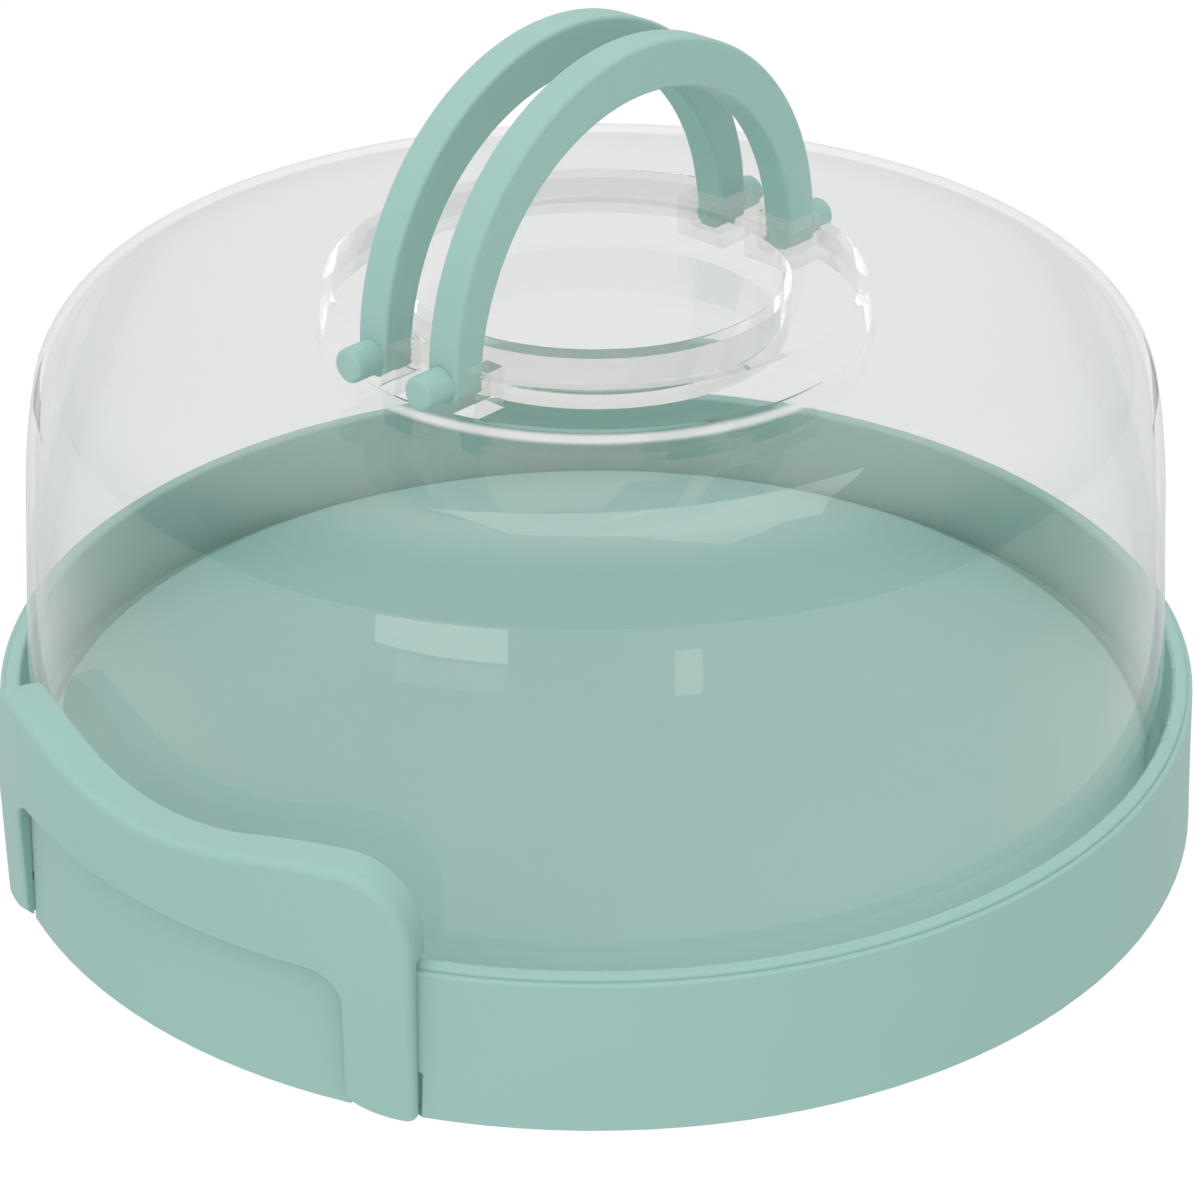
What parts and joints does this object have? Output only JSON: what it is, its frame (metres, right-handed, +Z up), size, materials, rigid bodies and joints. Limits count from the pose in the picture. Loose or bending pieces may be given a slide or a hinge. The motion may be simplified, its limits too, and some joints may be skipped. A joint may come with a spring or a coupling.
{
  "type": "pie keeper",
  "caption": "Round pie keeper: shallow tray, clear domed lid with a raised collar, arched carrying handles on pins and a swing-out latch over the rim.",
  "frame": {"origin": "centre of the circle that the tray rests on, at the height of the resting face", "axes": "+Z up, -Y towards the latch, the handles span along Y, +X to the right seen from the latch"},
  "size_m": [0.304, 0.3064, 0.2004],
  "materials": {
    "tray_plastic": "satin moulded",
    "clear_plastic": "clear polished",
    "handle_plastic": "satin moulded",
    "pin_plastic": "satin moulded",
    "latch_plastic": "satin moulded",
    "latch_pin_plastic": "satin moulded"
  },
  "bodies": {
    "base": {"base_tray": "tray_plastic"},
    "lid": {"dome_lid": "clear_plastic"},
    "left_handle": {"handle_left": "handle_plastic", "handle_left_front_pin": "pin_plastic", "handle_left_rear_pin": "pin_plastic"},
    "right_handle": {"handle_right": "handle_plastic", "handle_right_front_pin": "pin_plastic", "handle_right_rear_pin": "pin_plastic"},
    "latch": {"swing_latch": "latch_plastic", "latch_left_pin": "latch_pin_plastic", "latch_right_pin": "latch_pin_plastic"}
  },
  "joints": [
    {"name": "lid_lift", "type": "slide", "parent": "base", "child": "lid", "axis": [0, 0, 1], "range_m": [0, 0.09]},
    {"name": "left_handle_rock", "type": "hinge", "parent": "lid", "child": "left_handle", "pos_m": [-0.01125, 0, 0.13607], "axis": [0, -1, 0], "range_deg": [-5.5, 10]},
    {"name": "right_handle_rock", "type": "hinge", "parent": "lid", "child": "right_handle", "pos_m": [0.01125, 0, 0.13607], "axis": [0, 1, 0], "range_deg": [-5.5, 10]},
    {"name": "latch_swing", "type": "hinge", "parent": "base", "child": "latch", "pos_m": [0, -0.13872, 0.006], "axis": [1, 0, 0], "range_deg": [0, 60]}
  ]
}
